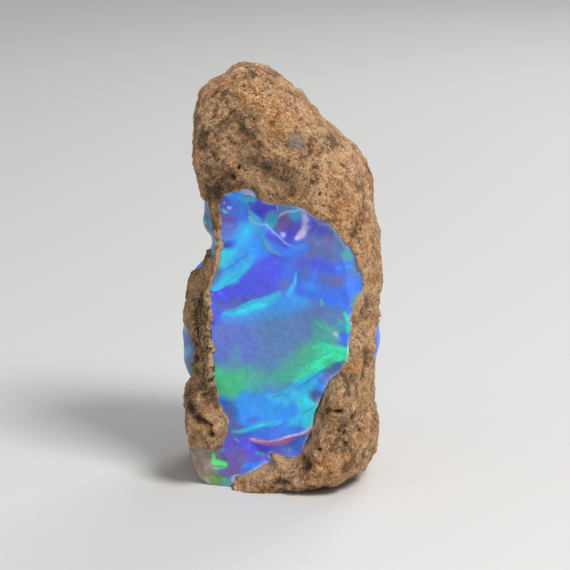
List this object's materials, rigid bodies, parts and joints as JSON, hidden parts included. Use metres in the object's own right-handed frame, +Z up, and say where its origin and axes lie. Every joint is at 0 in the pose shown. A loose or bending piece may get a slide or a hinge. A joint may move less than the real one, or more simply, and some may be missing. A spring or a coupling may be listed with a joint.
{
  "type": "rough opal nodule",
  "caption": "Rough precious opal still in its brown host rock, broken open along one side, standing on its own base as a mineral specimen.",
  "frame": {"origin": "middle of the flat base that the nodule stands on", "axes": "+Z up along the nodule's length, -Y towards the broad opal face, +X to the right when that face is looked at"},
  "size_m": [0.0191, 0.0196, 0.04],
  "materials": {
    "host_rock": "matte",
    "precious_opal": "polished"
  },
  "bodies": {
    "root": {"host_rock": "host_rock", "precious_opal": "precious_opal"}
  },
  "joints": []
}
